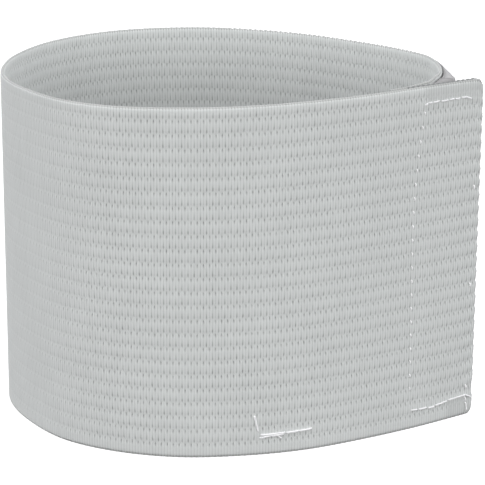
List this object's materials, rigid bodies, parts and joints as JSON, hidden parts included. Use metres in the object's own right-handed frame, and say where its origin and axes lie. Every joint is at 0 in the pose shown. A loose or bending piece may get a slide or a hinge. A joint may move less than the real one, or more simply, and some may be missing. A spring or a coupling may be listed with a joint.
{
  "type": "armband",
  "caption": "Wide woven elastic armband closed into a ring by a sewn hook-and-loop tab, standing on its lower edge.",
  "frame": {"origin": "middle of the band's box, on the surface that its lower edge stands on", "axes": "+Z along the hollow that the arm goes through, +X towards the tab's side, +Y towards the plain back"},
  "size_m": [0.1102, 0.0862, 0.08],
  "materials": {
    "woven_elastic": "pale grey woven elastic with raised rows across the strip",
    "hook_fabric": "pale grey nylon hook tape",
    "loop_fabric": "mid grey brushed loop tape",
    "sewing_thread": "white polyester sewing thread"
  },
  "bodies": {
    "root": {"elastic_band": "woven_elastic", "hook_tape": "hook_fabric", "loop_tape": "loop_fabric"}
  },
  "joints": []
}
